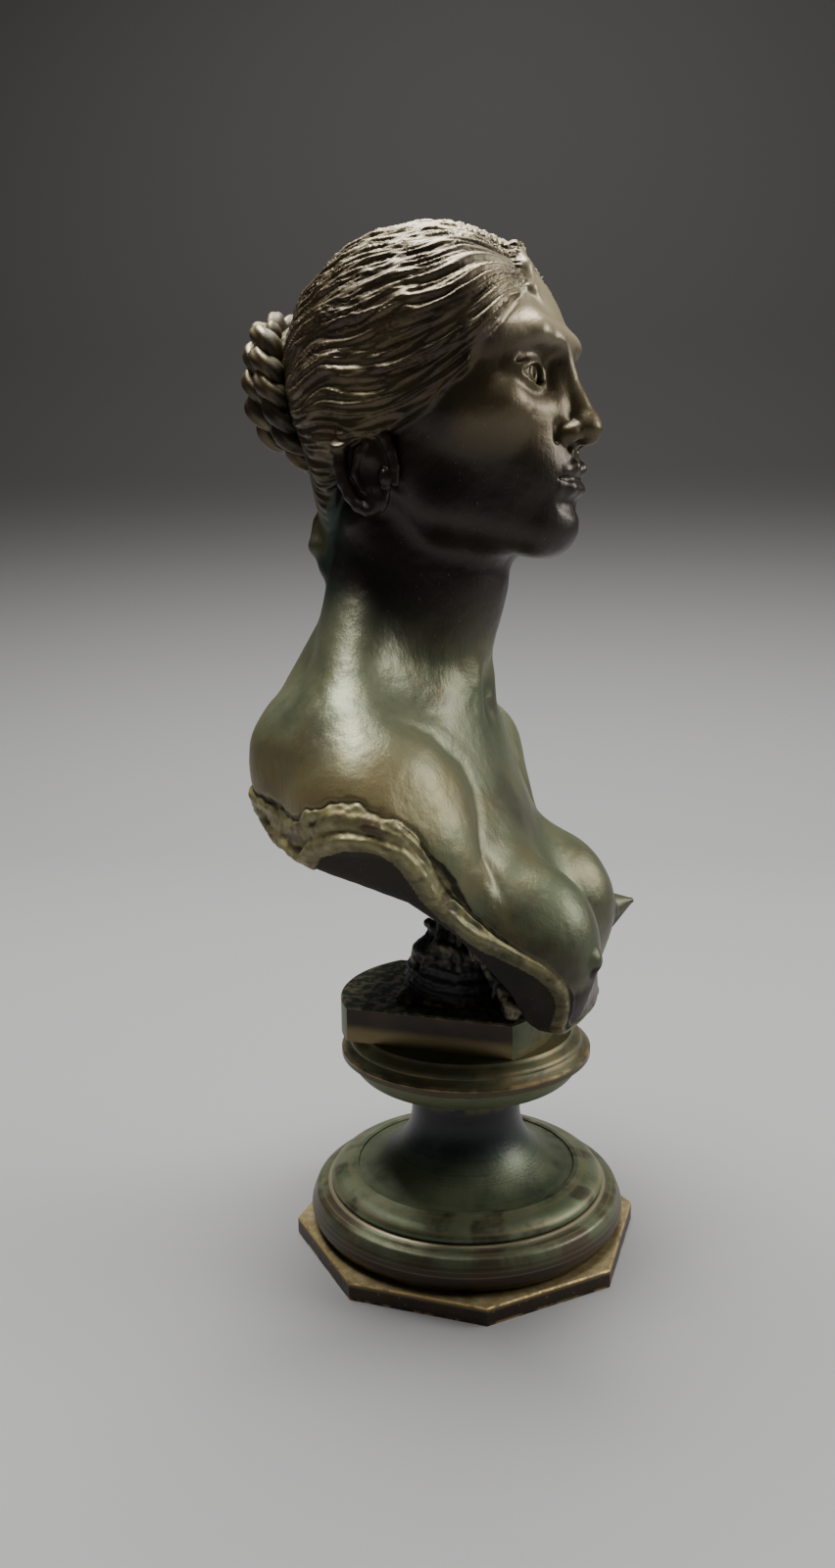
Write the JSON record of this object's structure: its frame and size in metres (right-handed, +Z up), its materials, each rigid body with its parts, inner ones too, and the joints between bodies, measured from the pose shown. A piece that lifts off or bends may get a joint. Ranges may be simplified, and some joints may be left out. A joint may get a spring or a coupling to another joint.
{
  "type": "portrait bust statuette",
  "caption": "Hollow cast bust of a woman with pinned-up braided hair, cut below the shoulders, on a turned socle with an octagonal plinth, held together by a central rod.",
  "frame": {"origin": "centre of the plinth's underside, on the tie rod's axis", "axes": "+Z up, the bust faces -Y, and its right shoulder is towards -X"},
  "size_m": [0.13, 0.1117, 0.2835],
  "materials": {
    "bronze_bust": "dark brown patinated bronze, semi-gloss, with green in the hollows and worn brassy edges",
    "bronze_stem": "very dark rough cast bronze with ochre in the folds",
    "bronze_block": "dark brown bronze with green and ochre rubbed into the edges",
    "bronze_cap": "olive and ochre patina over dark bronze",
    "bronze_spool": "dark blue-green patina, satin",
    "bronze_step": "grey-green patina over dark bronze, satin",
    "bronze_torus": "dark brown patinated bronze, satin, with turning marks",
    "bronze_plinth": "dark bronze with ochre on the top face and bright worn edges",
    "steel": "plain bright steel",
    "brass_pin": "plain drawn brass"
  },
  "bodies": {
    "root": {"base_torus": "bronze_torus", "bridge_bar": "steel", "bridge_screws": "steel", "bust_shell": "bronze_bust", "cap_dish": "bronze_cap", "chignon": "bronze_bust", "clamp_disc": "steel", "locating_pin": "brass_pin", "nuts": "steel", "plinth_plate": "bronze_plinth", "plinth_screws": "steel", "spool": "bronze_spool", "step_ring": "bronze_step", "support_stem": "bronze_stem", "tablet_block": "bronze_block", "tie_rod": "steel", "washers": "steel"}
  },
  "joints": []
}
